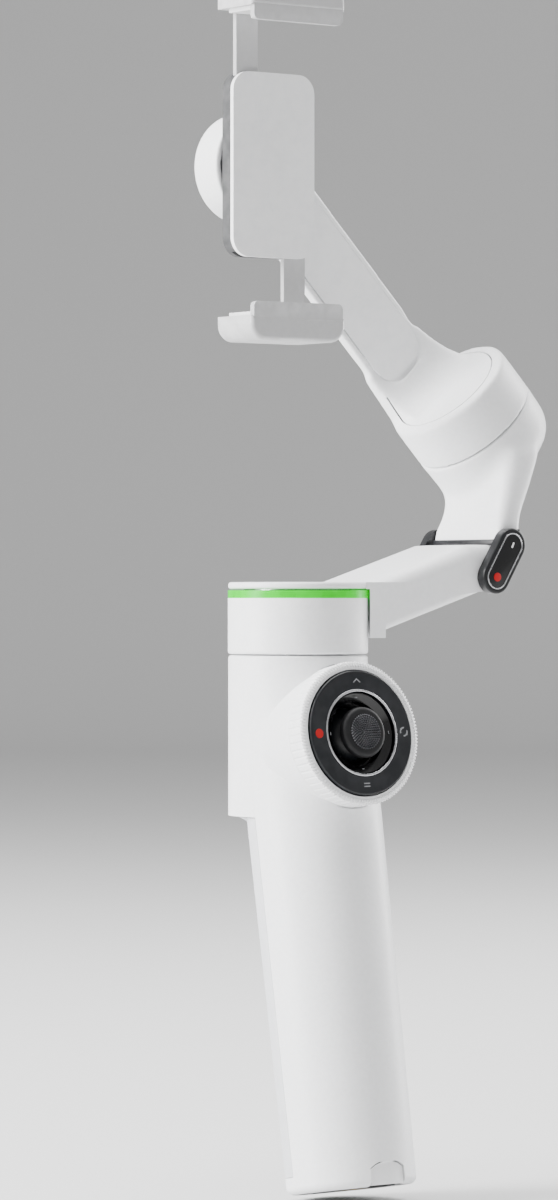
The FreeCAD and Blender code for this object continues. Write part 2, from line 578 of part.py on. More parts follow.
def make_hinge_plates():
    pivot = (FOLD_X, FOLD_Z)
    top = (PLATE_TOP_X, PLATE_TOP_Z)
    side = ARM_HALF_Y + 0.1
    for name, sign in (("hinge_plate_front", -1), ("hinge_plate_rear", 1)):
        y0, y1 = sorted((sign * (side + 0.2), sign * (side + 0.2 + HINGE_PLATE_T)))
        plate = stadium(pivot, top, PLATE_R, y0, y1)
        outside = y0 if sign < 0 else y1
        plate = rounded(plate, 0.6, lambda e, face=outside: abs(e.CenterOfMass.y - face) < 0.01)
        arm_side = sorted((sign * (side - 0.1), sign * (side + 0.5)))
        tongue = plate_xz([(55.2, 162.6), (56.2, 168.6), (61.8, 168.6), (61.8, 165.0)], *arm_side)
        plate = join(plate, tongue)
        bore = Part.makeCylinder(2.03, 3.2, V(FOLD_X, sign * 13.0, FOLD_Z), V(0, sign, 0))
        plate = plate.cut(bore)
        if sign < 0:
            recess = stadium(pivot, top, PLATE_R - 1.1, y0 - 1, y0 + 0.5)
            plate = plate.cut(recess)
        nodes[name] = plate


def make_tilt_motor():
    """Stator with wound poles and a bearing, in the fixed half of the drum."""
    z0, z1 = -11.5, -0.6
    poles = 9
    teeth = []
    for i in range(poles):
        turn = turned(360.0 * i / poles)
        neck = box(4.6, 9.0, -1.0, 1.0, z0 + 1.6, z1 - 2.4)
        shoe = box(8.8, 10.2, -2.6, 2.6, z0 + 1.6, z1 - 2.4)
        teeth.append(put(neck.fuse(shoe), turn))
    stator = join(tube(5.4, 3.6, z0, z1 - 2.4), *teeth)
    nodes["tilt_stator"] = put(stator, TILT)
    nodes["tilt_bearing"] = tube(5.4, 2.55, z1 - 2.4, z1 - 0.4, place=TILT)
    shaft = cyl(2.5, -9.0, 9.5, place=TILT)
    bell = join(tube(12.6, 10.9, -10.4, 6.0), cyl(12.6, 6.0, 9.5))
    nodes["tilt_rotor"] = join(shaft, put(bell, TILT))


# ---------------------------------------------------------------- tilt arm
def make_tilt_arm():
    turn_drum = cyl(DRUM_R, 0.2, DRUM_FRONT, place=TILT)
    reach = math.hypot(DRUM_X, CLAMP_Z - DRUM_Z)
    rear_x = -(PLATE_Y1 - DRUM_Y)
    front_x = -(PLATE_Y0 - DRUM_Y)
    plate = box(rear_x, front_x, -PLATE_HALF, PLATE_HALF, 2.0, reach, TILT)
    plate = rounded(plate, 5.0, lambda e: along(e, TILT_DIR) and e.CenterOfMass.y > PLATE_Y1 - 0.1)
    sweep_r = 15.0
    wedge_front = front_x + sweep_r
    sweep_z = DRUM_FRONT - 1
    plate_z = sweep_z + sweep_r
    inner = sweep_r * (1 - math.sqrt(0.5))
    flare = Part.Wire([
        Part.makeLine(V(rear_x, 0, 2.0), V(wedge_front, 0, 2.0)),
        Part.makeLine(V(wedge_front, 0, 2.0), V(wedge_front, 0, sweep_z)),
        Part.Arc(V(wedge_front, 0, sweep_z), V(front_x + inner, 0, sweep_z + inner),
                 V(front_x, 0, plate_z)).toShape(),
        Part.makeLine(V(front_x, 0, plate_z), V(rear_x, 0, plate_z)),
        Part.makeLine(V(rear_x, 0, plate_z), V(rear_x, 0, 2.0)),
    ])
    flare = Part.Face(flare).extrude(V(0, 30, 0))
    flare.translate(V(0, -15, 0))
    taper = plate_taper(rear_x - 1, wedge_front + 1, reach)
    flare = put(flare, TILT).common(taper).common(cyl(DRUM_R, 0.2, reach, place=TILT))
    body = join(turn_drum, plate, flare)
    motor_back = 27.0
    motor = Part.makeCylinder(ROLL_R, motor_back - PLATE_Y0, V(0, PLATE_Y0, CLAMP_Z), Y_AXIS)
    motor = rounded(motor, 1.5, lambda e: is_circle(e, ROLL_R) and e.CenterOfMass.y > motor_back - 1)
    body = join(body, motor)
    body = body.cut(cyl(DRUM_R - DRUM_WALL, -1, 9.5, place=TILT))
    body = body.cut(Part.makeCylinder(ROLL_R - 1.8, 60, V(0, PLATE_Y0 - 1, CLAMP_Z), Y_AXIS).common(
        box(-30, 30, 0, motor_back - 1.8, 200, 300)))
    body = body.cut(cover_shape(0.12))
    nodes["tilt_arm"] = sorted(body.Solids, key=lambda s: s.Volume)[-1]
    nodes["tilt_arm_cover"] = cover_shape(0.0)


def plate_taper(x0, x1, reach):
    """Outline across the tilt axis that narrows from the drum to the plate, along the axis."""
    narrow_at = DRUM_FRONT + 22
    pts = [(x0, -DRUM_R + 3.0, 0), (x0, -DRUM_R + 4.6, DRUM_FRONT), (x0, -PLATE_HALF, narrow_at),
           (x0, -PLATE_HALF, reach), (x0, PLATE_HALF, reach), (x0, PLATE_HALF, narrow_at),
           (x0, DRUM_R - 4.6, DRUM_FRONT), (x0, DRUM_R - 3.0, 0)]
    return put(outline(pts).extrude(V(x1 - x0, 0, 0)), TILT)


def cover_shape(grow):
    """Round-ended cover let into the front of the tilt arm's plate."""
    lower = tilt_point(27.0, 0)
    upper = tilt_point(70.0, 0)
    return stadium(lower, upper, 8.2 + grow, PLATE_Y0 - (1.0 if grow else 0.0), PLATE_Y0 + 1.4)


def make_roll_stator():
    """Wound poles of the roll motor, with a plain bush for the rotor's shaft."""
    poles = 9
    teeth = []
    for i in range(poles):
        turn = turned(360.0 * i / poles)
        neck = box(4.6, 7.4, -0.9, 0.9, -24.0, -19.6)
        shoe = box(7.2, 8.4, -2.0, 2.0, -24.0, -19.6)
        teeth.append(put(neck.fuse(shoe), turn))
    bush = tube(5.2, 2.55, -19.8, -18.0)
    nodes["roll_stator"] = put(join(tube(5.2, 3.4, -25.2, -19.6), bush, *teeth), ROLL)


# ---------------------------------------------------------------- roll rotor and phone clamp

def make_roll_rotor():
    disc_back, bell_back, magnet_back = -17.6, -24.6, -17.0
    mount_face = -MOUNT_FACE - 0.1
    disc = cyl(12.3, disc_back, mount_face, place=ROLL)
    bell = tube(10.6, 9.0, bell_back, disc_back, place=ROLL)
    rotor = join(disc, bell, cyl(2.5, bell_back, disc_back, place=ROLL))
    places = ring_places(7.2, 4, 45)
    for x, y in places:
        rotor = rotor.cut(cyl(2.0, magnet_back, -14.0, x, y, ROLL))
    nodes["roll_rotor"] = rotor
    nodes["mount_magnets"] = group([cyl(2.0, magnet_back, mount_face, x, y, ROLL) for x, y in places])


def rack(side):
    """Toothed bar along Z on the inner side of a jaw stem; side is -1 or +1 in X."""
    pitch = math.pi * MODULE
    tip, root = 0.22, 0.42
    x_tip = side * (MODULE * PINION_TEETH / 2 - 0.45)
    x_root = side * (STEM_IN + 0.1)
    teeth = []
    for i in range(-12, 13):
        z = CLAMP_Z + (i + 0.5) * pitch
        teeth.append(plate_xz([(x_root, z - root), (x_tip, z - tip), (x_tip, z + tip), (x_root, z + root)],
                              RACK_Y0, RACK_Y1))
    return teeth


def make_pinion():
    pitch_r = MODULE * PINION_TEETH / 2
    core = Part.makeCylinder(pitch_r - 0.75, RACK_Y1 - RACK_Y0, V(0, RACK_Y0, CLAMP_Z), Y_AXIS)
    teeth = []
    for i in range(PINION_TEETH):
        turn = FreeCAD.Rotation(Y_AXIS, 360.0 * i / PINION_TEETH)
        tooth = plate_xz([(pitch_r - 1.0, -0.34), (pitch_r + 0.35, -0.16), (pitch_r + 0.35, 0.16),
                          (pitch_r - 1.0, 0.34)], RACK_Y0, RACK_Y1)
        teeth.append(put(tooth, FreeCAD.Placement(V(0, 0, CLAMP_Z), turn)))
    wheel = join(core, *teeth)
    nodes["clamp_pinion"] = wheel.cut(Part.makeCylinder(1.06, 10, V(0, 8, CLAMP_Z), Y_AXIS))


def jaw(side):
    """Jaw for the top (side +1) or bottom (side -1) edge of the phone, with its stem."""
    near = CLAMP_Z + side * JAW_GAP / 2
    far = near + side * JAW_DEPTH
    lip_edge = near - side * 2.6
    front_y = PHONE_Y0 - 2.6
    z0, z1 = sorted((near + side * PAD_SEAT, far))
    block = box(-JAW_HALF_X, JAW_HALF_X, front_y, 14.6, z0, z1)
    block = rounded(block, 6.4, lambda e: along(e, Y_AXIS) and abs(e.CenterOfMass.z - far) < 0.01)
    block = rounded(block, 1.2, lambda e: abs(e.CenterOfMass.y - front_y) < 0.01)
    lip0, lip1 = sorted((lip_edge, near + side * 3.0))
    lip = box(-JAW_HALF_X + 0.8, JAW_HALF_X - 0.8, front_y + 0.2, PHONE_Y0 - 0.7, lip0, lip1)
    lip = rounded(lip, 1.4, lambda e: along(e, Y_AXIS) and abs(e.CenterOfMass.z - lip_edge) < 0.01)
    stem_x0, stem_x1 = sorted((-side * STEM_IN, -side * STEM_OUT))
    stem_far = CLAMP_Z - side * 13.0
    stem_z0, stem_z1 = sorted((stem_far, near + side * 4.0))
    stem = box(stem_x0, stem_x1, RACK_Y0, RACK_Y1, stem_z0, stem_z1)
    teeth = [t for t in rack(-side) if stem_z0 < t.BoundBox.ZMin and t.BoundBox.ZMax < stem_z1
             and abs(t.BoundBox.Center.z - CLAMP_Z) < 12.5]
    return join(block, lip, stem, *teeth)


def jaw_pad(side):
    near = CLAMP_Z + side * JAW_GAP / 2
    z0, z1 = sorted((near, near + side * PAD_SEAT))
    pad = box(-JAW_HALF_X + 1.5, JAW_HALF_X - 1.5, PHONE_Y0 - 0.7, RACK_Y0 - 0.3, z0, z1)
    lip0, lip1 = sorted((near - side * 2.2, near + side * PAD_SEAT))
    front = box(-JAW_HALF_X + 1.5, JAW_HALF_X - 1.5, PHONE_Y0 - 0.7, PHONE_Y0, lip0, lip1)
    return join(pad, front)


def make_clamp():
    low, high = CLAMP_Z - CLAMP_HALF_Z, CLAMP_Z + CLAMP_HALF_Z
    rear = box(-CLAMP_HALF_X, CLAMP_HALF_X, RACK_Y0 - 0.2, MOUNT_FACE - 0.1, low, high)
    rear = rounded(rear, 5.0, lambda e: along(e, Y_AXIS))
    channel_lo, channel_hi = STEM_IN - 0.25, STEM_OUT + 0.25
    channel_back = RACK_Y1 + 0.25
    for side in (-1, 1):
        x0, x1 = sorted((side * channel_lo, side * channel_hi))
        rear = rear.cut(box(x0, x1, RACK_Y0 - 1, channel_back, low - 1, high + 1))
    rear = rear.cut(box(-channel_lo - 0.1, channel_lo + 0.1, RACK_Y0 - 1, channel_back,
                        CLAMP_Z - CHANNEL_HALF_Z, CLAMP_Z + CHANNEL_HALF_Z))
    axle = Part.makeCylinder(1.0, 3.4, V(0, RACK_Y0 - 0.9, CLAMP_Z), Y_AXIS)
    nodes["clamp_back"] = join(rear, axle)
    cover = box(-CLAMP_HALF_X, CLAMP_HALF_X, PHONE_Y1 + 0.3, RACK_Y0 - 0.2, low, high)
    cover = rounded(cover, 5.0, lambda e: along(e, Y_AXIS))
    nodes["clamp_cover"] = cover.cut(axle)
    make_pinion()
    nodes["upper_jaw"] = jaw(1)
    nodes["lower_jaw"] = jaw(-1)
    nodes["upper_jaw_pad"] = jaw_pad(1)
    nodes["lower_jaw_pad"] = jaw_pad(-1)


# ---------------------------------------------------------------- build
def build():
    make_handle()
    make_battery()
    make_foot()
    make_electronics()
    make_controls()
    make_trigger()
    make_power_button()
    make_tripod()
    make_rod()
    make_pan()
    make_upper_arm()
    make_hinge_plates()
    make_tilt_motor()
    make_tilt_arm()
    make_roll_stator()
    make_roll_rotor()
    make_clamp()
    os.makedirs("parts", exist_ok=True)
    for name, shape in nodes.items():
        shape = shape.copy()
        shape.translate(V(0, -FOOT_Y, 0))
        shape.exportStep("parts/%s.step" % name)
        box_now = shape.BoundBox
        print("%-22s solids %d valid %s volume %9.1f  X %.1f..%.1f Y %.1f..%.1f Z %.1f..%.1f" % (
            name, len(shape.Solids), shape.isValid(), shape.Volume, box_now.XMin, box_now.XMax,
            box_now.YMin, box_now.YMax, box_now.ZMin, box_now.ZMax))


build()
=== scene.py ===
"""Looks of the folding phone gimbal: finishes, printed marks, inlays, camera and light."""

import json
import math

import bpy
from mathutils import Matrix, Vector


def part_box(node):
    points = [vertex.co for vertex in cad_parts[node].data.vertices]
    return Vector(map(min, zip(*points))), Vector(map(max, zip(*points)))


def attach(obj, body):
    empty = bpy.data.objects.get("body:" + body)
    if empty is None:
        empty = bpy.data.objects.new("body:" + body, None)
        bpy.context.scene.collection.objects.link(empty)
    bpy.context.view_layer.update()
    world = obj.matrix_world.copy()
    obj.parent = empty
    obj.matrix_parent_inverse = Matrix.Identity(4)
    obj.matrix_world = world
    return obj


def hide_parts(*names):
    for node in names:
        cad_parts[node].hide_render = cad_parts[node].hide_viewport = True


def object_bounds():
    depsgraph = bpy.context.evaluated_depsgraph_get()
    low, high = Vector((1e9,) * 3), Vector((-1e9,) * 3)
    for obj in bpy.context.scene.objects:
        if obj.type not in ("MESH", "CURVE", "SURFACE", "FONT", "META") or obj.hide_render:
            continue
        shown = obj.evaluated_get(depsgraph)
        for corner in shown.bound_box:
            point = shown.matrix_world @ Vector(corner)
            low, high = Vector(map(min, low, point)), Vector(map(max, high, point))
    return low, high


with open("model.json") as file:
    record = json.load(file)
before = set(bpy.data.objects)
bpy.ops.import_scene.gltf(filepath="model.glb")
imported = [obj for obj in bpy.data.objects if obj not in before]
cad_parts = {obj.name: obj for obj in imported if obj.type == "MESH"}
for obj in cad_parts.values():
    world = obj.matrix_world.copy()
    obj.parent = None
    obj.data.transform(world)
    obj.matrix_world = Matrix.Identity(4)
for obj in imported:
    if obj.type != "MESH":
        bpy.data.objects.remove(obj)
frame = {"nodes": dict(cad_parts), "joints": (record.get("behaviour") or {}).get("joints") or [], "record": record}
CAD_BOX = [list(corner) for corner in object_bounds()]
MM = 0.001

# ---------------------------------------------------------------- places taken from the frame
JOINTS = {joint["name"]: joint for joint in frame["joints"]}
PANEL_OUT = Vector(JOINTS["dial_turn"]["axis"]).normalized()
PANEL_AT = Vector(JOINTS["dial_turn"]["pos_m"])
PANEL_UP = Vector(JOINTS["stick_left_right"]["axis"]).normalized()
PANEL_RIGHT = PANEL_UP.cross(PANEL_OUT).normalized()
STICK_AT = Vector(JOINTS["stick_up_down"]["pos_m"])
FOLD_AT = Vector(JOINTS["arm_fold"]["pos_m"])
TILT_AT = Vector(JOINTS["tilt_turn"]["pos_m"])
TILT_OUT = Vector(JOINTS["tilt_turn"]["axis"]).normalized()


def node_reach(name, direction, origin):
    """Furthest distance of a node's vertices from origin along a direction."""
    mesh = frame["nodes"][name].data
    return max((vertex.co - origin).dot(direction) for vertex in mesh.vertices)


DISC_FACE = node_reach("button_disc", PANEL_OUT, PANEL_AT)
DISC_R = node_reach("button_disc", PANEL_RIGHT, PANEL_AT)
DISH_FACE = node_reach("stick_dish", PANEL_OUT, PANEL_AT)
DISH_R = node_reach("stick_dish", PANEL_RIGHT, PANEL_AT)
CAP_FACE = node_reach("stick_cap", PANEL_OUT, PANEL_AT)
CAP_R = node_reach("stick_cap", PANEL_RIGHT, PANEL_AT)
DRUM_FACE = 13.0 * MM       # face of the tilt motor's turning half, from the parting plane


# ---------------------------------------------------------------- shader node groups
def new_group(name, inputs, outputs):
    """Empty shader node group with named sockets, and its two end nodes."""
    tree = bpy.data.node_groups.new(name, "ShaderNodeTree")
    for label, kind, value in inputs:
        socket = tree.interface.new_socket(label, in_out="INPUT", socket_type=kind)
        if value is not None:
            socket.default_value = value
    for label, kind in outputs:
        tree.interface.new_socket(label, in_out="OUTPUT", socket_type=kind)
    return tree, tree.nodes.new("NodeGroupInput"), tree.nodes.new("NodeGroupOutput")


def noise(tree, coords, scale, detail=3.0, rough=0.5):
    node = tree.nodes.new("ShaderNodeTexNoise")
    node.inputs["Scale"].default_value = scale
    node.inputs["Detail"].default_value = detail
    node.inputs["Roughness"].default_value = rough
    tree.links.new(coords, node.inputs["Vector"])
    return node.outputs["Fac"]


def ramp(tree, value, low, high, to_low=0.0, to_high=1.0):
    node = tree.nodes.new("ShaderNodeMapRange")
    node.inputs["From Min"].default_value = low
    node.inputs["From Max"].default_value = high
    node.inputs["To Min"].default_value = to_low
    node.inputs["To Max"].default_value = to_high
    tree.links.new(value, node.inputs["Value"])
    return node.outputs["Result"]


def blend(tree, factor, first, second):
    node = tree.nodes.new("ShaderNodeMix")
    node.data_type = "RGBA"
    for value, socket in ((factor, node.inputs[0]), (first, node.inputs[6]), (second, node.inputs[7])):
        if hasattr(value, "is_output"):
            tree.links.new(value, socket)
        else:
            socket.default_value = value
    return node.outputs[2]


def maths(tree, operation, first, second):
    node = tree.nodes.new("ShaderNodeMath")
    node.operation = operation
    for value, socket in ((first, node.inputs[0]), (second, node.inputs[1])):
        if hasattr(value, "is_output"):
            tree.links.new(value, socket)
        else:
            socket.default_value = value
    return node.outputs[0]


FINE_GRAIN = 4200.0         # noise scales, in cycles over a metre
SPOT_GRAIN = 900.0
BROAD_GRAIN = 55.0
GRAIN_HEIGHT = 0.00003      # bump heights in metres
LINE_HEIGHT = 0.00001
DRAWN_LINES = 5200.0
EDGE_START, EDGE_FULL = 0.515, 0.58     # Pointiness at which wear starts and is full


def make_grain_group():
    """Fine moulding grain: a height, a roughness change and a faint tone change."""
    tree, start, end = new_group(
        "moulding_grain",
        [("Scale", "NodeSocketFloat", 1.0), ("Rough Low", "NodeSocketFloat", 0.35),
         ("Rough High", "NodeSocketFloat", 0.45)],
        [("Height", "NodeSocketFloat"), ("Roughness", "NodeSocketFloat"), ("Tone", "NodeSocketFloat")])
    coords = tree.nodes.new("ShaderNodeTexCoord").outputs["Object"]
    scaled = tree.nodes.new("ShaderNodeVectorMath")
    scaled.operation = "SCALE"
    tree.links.new(coords, scaled.inputs[0])
    tree.links.new(start.outputs["Scale"], scaled.inputs["Scale"])
    fine = noise(tree, scaled.outputs[0], FINE_GRAIN, 4.0, 0.6)
    broad = noise(tree, scaled.outputs[0], BROAD_GRAIN, 3.0)
    spots = noise(tree, scaled.outputs[0], SPOT_GRAIN, 2.0)
    tree.links.new(maths(tree, "ADD", fine, maths(tree, "MULTIPLY", spots, 0.4)), end.inputs["Height"])
    spread = maths(tree, "SUBTRACT", start.outputs["Rough High"], start.outputs["Rough Low"])
    level = ramp(tree, broad, 0.3, 0.7)
    rough = maths(tree, "ADD", start.outputs["Rough Low"], maths(tree, "MULTIPLY", level, spread))
    tree.links.new(rough, end.inputs["Roughness"])
    tree.links.new(ramp(tree, spots, 0.35, 0.65), end.inputs["Tone"])
    return tree


def make_edge_group():
    """Mask of convex edges, where handling polishes or wears a finish."""
    tree, start, end = new_group(
        "edge_wear", [("Width", "NodeSocketFloat", 0.5), ("Breakup", "NodeSocketFloat", 300.0)],
        [("Mask", "NodeSocketFloat")])
    geometry = tree.nodes.new("ShaderNodeNewGeometry")
    coords = tree.nodes.new("ShaderNodeTexCoord").outputs["Object"]
    node = tree.nodes.new("ShaderNodeTexNoise")
    tree.links.new(coords, node.inputs["Vector"])
    tree.links.new(start.outputs["Breakup"], node.inputs["Scale"])
    convex = ramp(tree, geometry.outputs["Pointiness"], EDGE_START, EDGE_FULL)
    worn = maths(tree, "MULTIPLY", convex, ramp(tree, node.outputs["Fac"], 0.35, 0.6))
    tree.links.new(maths(tree, "MULTIPLY", worn, start.outputs["Width"]), end.inputs["Mask"])
    return tree


GRAIN = make_grain_group()
EDGE = make_edge_group()


def use_group(tree, group, **values):
    node = tree.nodes.new("ShaderNodeGroup")
    node.node_tree = group
    for label, value in values.items():
        node.inputs[label.replace("_", " ")].default_value = value
    return node


def start_material(name):
    material = bpy.data.materials.new(name)
    material.use_nodes = True
    tree = material.node_tree
    return material, tree, tree.nodes["Principled BSDF"]


def bump(tree, shader, height, distance, strength):
    node = tree.nodes.new("ShaderNodeBump")
    node.inputs["Distance"].default_value = distance
    node.inputs["Strength"].default_value = strength
    tree.links.new(height, node.inputs["Height"])
    tree.links.new(node.outputs["Normal"], shader.inputs["Normal"])


def moulded(name, colour, worn_colour, rough, grain=0.12, scale=1.0, specular=0.5, coat=0.0, tone=0.04):
    """Moulded plastic: grain, a faint mottled tone and paler or glossier edges."""
    material, tree, shader = start_material(name)
    grains = use_group(tree, GRAIN, Scale=scale, Rough_Low=rough - 0.05, Rough_High=rough + 0.06)
    edges = use_group(tree, EDGE, Width=0.6, Breakup=260.0)
    darker = tuple(value * (1.0 - tone) for value in colour[:3]) + (1.0,)
    base = blend(tree, grains.outputs["Tone"], darker, tuple(colour[:3]) + (1.0,))
    worn = blend(tree, edges.outputs["Mask"], base, tuple(worn_colour[:3]) + (1.0,))
    tree.links.new(worn, shader.inputs["Base Color"])
    tree.links.new(grains.outputs["Roughness"], shader.inputs["Roughness"])
    shader.inputs["Specular IOR Level"].default_value = specular
    shader.inputs["Coat Weight"].default_value = coat
    bump(tree, shader, grains.outputs["Height"], GRAIN_HEIGHT, grain)
    return material


def brushed(name, colour, rough, direction, dark=0.85):
    """Turned or drawn metal with fine lines along one direction."""
    material, tree, shader = start_material(name)
    coords = tree.nodes.new("ShaderNodeTexCoord").outputs["Object"]
    stretch = tree.nodes.new("ShaderNodeMapping")
    stretch.inputs["Scale"].default_value = tuple(0.02 if direction[i] else 1.0 for i in range(3))
    tree.links.new(coords, stretch.inputs["Vector"])
    lines = noise(tree, stretch.outputs["Vector"], DRAWN_LINES, 2.0)
    edges = use_group(tree, EDGE, Width=0.8, Breakup=500.0)
    darker = tuple(value * dark for value in colour) + (1.0,)
    brighter = tuple(min(1.0, value * 1.15) for value in colour) + (1.0,)
    base = blend(tree, ramp(tree, lines, 0.35, 0.65), darker, tuple(colour) + (1.0,))
    tree.links.new(blend(tree, edges.outputs["Mask"], base, brighter), shader.inputs["Base Color"])
    tree.links.new(ramp(tree, lines, 0.3, 0.7, rough - 0.06, rough + 0.08), shader.inputs["Roughness"])
    shader.inputs["Metallic"].default_value = 1.0
    bump(tree, shader, lines, LINE_HEIGHT, 0.25)
    return material


# ---------------------------------------------------------------- finishes
def shell_white():
    return moulded("shell_white", (0.84, 0.845, 0.855), (0.88, 0.88, 0.885), 0.42, 0.10, 1.0, 0.4)


def grip_grey():
    return moulded("grip_grey", (0.60, 0.61, 0.63), (0.66, 0.665, 0.68), 0.62, 0.45, 0.45, 0.35)


def jaw_grey():
    return moulded("jaw_grey", (0.46, 0.46, 0.465), (0.60, 0.60, 0.605), 0.33, 0.14, 0.8)


def pad_white():
    return moulded("pad_white", (0.68, 0.68, 0.68), (0.74, 0.74, 0.74), 0.7, 0.5, 0.5, 0.3)


def control_black():
    return moulded("control_black", (0.0075, 0.0085, 0.0105), (0.022, 0.023, 0.026),
                   0.34, 0.16, 0.9, 0.35, tone=0.12)


def gloss_black():
    return moulded("gloss_black", (0.002, 0.002, 0.0025), (0.006, 0.006, 0.007),
                   0.16, 0.02, 1.0, 0.4, coat=0.15, tone=0.2)


def hinge_black():
    return moulded("hinge_black", (0.006, 0.0065, 0.0075), (0.035, 0.035, 0.038),
                   0.34, 0.2, 0.8, 0.35, tone=0.1)


def stick_black():
    return moulded("stick_black", (0.005, 0.005, 0.006), (0.02, 0.02, 0.021), 0.55, 0.4, 0.5, 0.3, tone=0.15)


def inner_plastic():
    return moulded("inner_plastic", (0.035, 0.036, 0.038), (0.09, 0.09, 0.092), 0.5, 0.3, 0.7, tone=0.12)


def board_green():
    return moulded("board_green", (0.012, 0.10, 0.045), (0.05, 0.18, 0.09), 0.35, 0.2, 0.6, tone=0.25)


def cell_wrap():
    return moulded("cell_wrap", (0.03, 0.09, 0.25), (0.08, 0.16, 0.34), 0.3, 0.1, 0.5, tone=0.15)


def copper_winding():
    return brushed("copper_winding", (0.50, 0.20, 0.09), 0.38, (0, 0, 1), 0.7)


def steel():
    return brushed("steel", (0.56, 0.56, 0.58), 0.28, (0, 0, 1))


def magnet_plate():
    return brushed("magnet", (0.66, 0.66, 0.69), 0.18, (0, 1, 0), 0.92)


def alloy():
    return brushed("alloy", (0.72, 0.73, 0.75), 0.3, (0, 0, 1))


def brass():
    return brushed("brass", (0.66, 0.46, 0.19), 0.3, (0, 0, 1))


def light_green():
    """Lit light guide: the glow varies a little over the strip."""
    material, tree, shader = start_material("light_green")
    coords = tree.nodes.new("ShaderNodeTexCoord").outputs["Object"]
    cells = noise(tree, coords, 160.0, 2.0)
    colour = blend(tree, ramp(tree, cells, 0.3, 0.7), (0.0, 0.30, 0.0, 1.0), (0.0, 0.40, 0.002, 1.0))
    tree.links.new(colour, shader.inputs["Base Color"])
    tree.links.new(colour, shader.inputs["Emission Color"])
    tree.links.new(ramp(tree, cells, 0.3, 0.7, 0.24, 0.32), shader.inputs["Roughness"])
    shader.inputs["Specular IOR Level"].default_value = 0.15
    shader.inputs["Emission Strength"].default_value = 1.4
    return material


def mark_paint(name, colour):
    """Printed mark: matt ink with slight mottling."""
    return moulded(name, colour, colour, 0.5, 0.05, 1.0, 0.3, tone=0.06)


FINISHES = {
    "shell_white": shell_white(), "grip_grey": grip_grey(), "jaw_grey": jaw_grey(),
    "pad_white": pad_white(), "control_black": control_black(), "gloss_black": gloss_black(),
    "hinge_black": hinge_black(), "stick_black": stick_black(), "inner_plastic": inner_plastic(),
    "board_green": board_green(), "cell_wrap": cell_wrap(), "copper_winding": copper_winding(),
    "steel": steel(), "magnet": magnet_plate(), "alloy": alloy(), "brass": brass(),
    "light_green": light_green(),
}
MARK_GREY = mark_paint("mark_grey", (0.22, 0.225, 0.235))
MARK_RED = mark_paint("mark_red", (0.42, 0.003, 0.004))
MARK_WHITE = mark_paint("mark_white", (0.80, 0.80, 0.80))
# Painted highlight: the stick's raised diamonds get a lighter colour than the black cap, in place of the light
# their tips catch.
STICK_TIPS_PAINTED_HIGHLIGHT = moulded("stick_tips_painted_highlight", (0.045, 0.046, 0.052), (0.12, 0.12, 0.13), 0.42, 0.2, 0.8, tone=0.1)


# ---------------------------------------------------------------- CAD nodes
def dress_nodes():
    """Every CAD node takes the finish of its material slot."""
    slots = {part["node"]: part["material_slot"] for part in frame["record"]["subparts"]}
    for name, node in frame["nodes"].items():
        node.data.materials.clear()
        node.data.materials.append(FINISHES[slots[name]])


# ---------------------------------------------------------------- modelling helpers
def deselect():
    bpy.ops.object.select_all(action="DESELECT")


def pick(piece):
    """Makes one piece the only selected and active one."""
    deselect()
    piece.select_set(True)
    bpy.context.view_layer.objects.active = piece


def added(name):
    """Names the primitive that was just added, with its turn and scale in its mesh."""
    piece = bpy.context.object
    piece.name = name
    bpy.ops.object.transform_apply(location=True, rotation=True, scale=True)
    return piece


def select_points(piece, wanted):
    """In edit mode afterwards, with only the vertices that the test accepts selected."""
    pick(piece)
    bpy.ops.object.mode_set(mode="EDIT")
    bpy.ops.mesh.select_mode(type="VERT")
    bpy.ops.mesh.select_all(action="DESELECT")
    bpy.ops.object.mode_set(mode="OBJECT")
    for vertex in piece.data.vertices:
        vertex.select = wanted(vertex.co)
    bpy.ops.object.mode_set(mode="EDIT")


def leave_edit():
    bpy.ops.object.mode_set(mode="OBJECT")


def soften(piece, width, segments=3, angle=30.0):
    """Rounds the sharp edges with a bevel that is applied."""
    modifier = piece.modifiers.new("soft_edges", "BEVEL")
    modifier.width = width
    modifier.segments = segments
    modifier.limit_method = "ANGLE"
    modifier.angle_limit = math.radians(angle)
    pick(piece)
    bpy.ops.object.modifier_apply(modifier=modifier.name)
    return piece


def bar(name, size, at, turn=0.0, round_edges=0.05 * MM):
    """Small block with rounded edges, turned about its own Z in degrees."""
    deselect()
    bpy.ops.mesh.primitive_cube_add(size=1.0, location=at, scale=size, rotation=(0, 0, math.radians(turn)))
    return soften(added(name), round_edges, 2)


def copies(piece, places):
    """One piece made of copies of a model, each with its own mesh."""
    made = [piece]
    for place in places[1:]:
        other = piece.copy()
        other.data = piece.data.copy()
        other.data.transform(place)
        bpy.context.scene.collection.objects.link(other)
        made.append(other)
    piece.data.transform(places[0])
    return merged(piece.name, made)


def merged(name, pieces):
    deselect()
    for piece in pieces:
        piece.select_set(True)
    bpy.context.view_layer.objects.active = pieces[0]
    bpy.ops.object.join()
    pieces[0].name = name
    return pieces[0]


def settle(piece, place, body, material, angle=40.0):
    """Puts a finished piece in its place, with the place in its mesh, on the body it moves with."""
    piece.data.transform(place)
    piece.data.materials.clear()
    piece.data.materials.append(material)
    pick(piece)
    bpy.ops.object.shade_smooth_by_angle(angle=math.radians(angle))
    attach(piece, body)
    return piece


def axes_place(origin, x_dir, y_dir, z_dir):
    """Matrix whose columns are three directions, at an origin."""
    turn = Matrix((x_dir, y_dir, z_dir)).transposed()
    return Matrix.Translation(origin) @ turn.to_4x4()


def lifted(place, height):
    return place @ Matrix.Translation((0, 0, height))


def spun(angle):
    return Matrix.Rotation(math.radians(angle), 4, "Z")


PANEL = axes_place(PANEL_AT, PANEL_RIGHT, PANEL_UP, PANEL_OUT)
MARK = 0.10 * MM           # thickness of a printed mark, half of it sunk in


